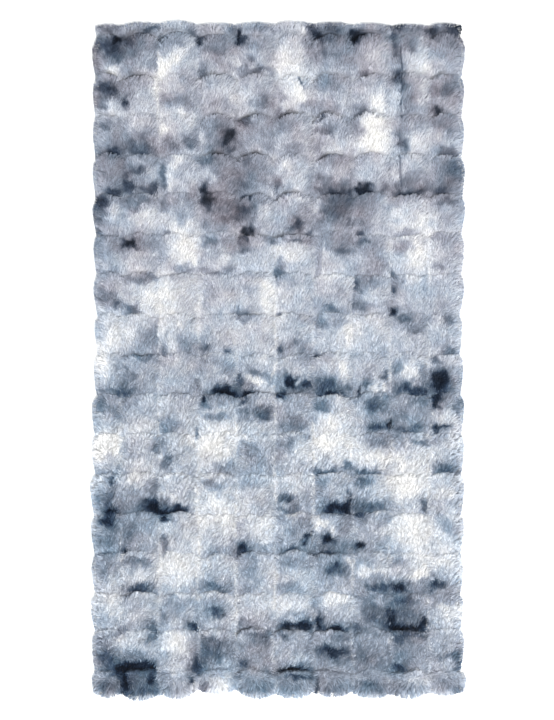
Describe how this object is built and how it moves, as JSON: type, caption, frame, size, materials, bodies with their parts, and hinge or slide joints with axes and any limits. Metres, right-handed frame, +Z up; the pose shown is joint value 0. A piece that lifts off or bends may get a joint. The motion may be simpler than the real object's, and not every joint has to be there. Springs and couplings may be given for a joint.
{
  "type": "shag rug",
  "caption": "Rectangular shag rug lying flat: one cloth with long soft pile standing in a grid of arched tufts, with scalloped edges.",
  "frame": {"origin": "middle of the underside, on the surface that the rug lies on", "axes": "+Z up out of the pile, +Y along the length towards the end that the pile lies towards, +X across the width"},
  "size_m": [0.8, 1.45, 0.027],
  "materials": {
    "pile": "long soft dyed pile in cloudy grey-blue, white and navy patches, matt with a faint sheen"
  },
  "bodies": {
    "root": {"shag_rug": "pile"}
  },
  "joints": []
}
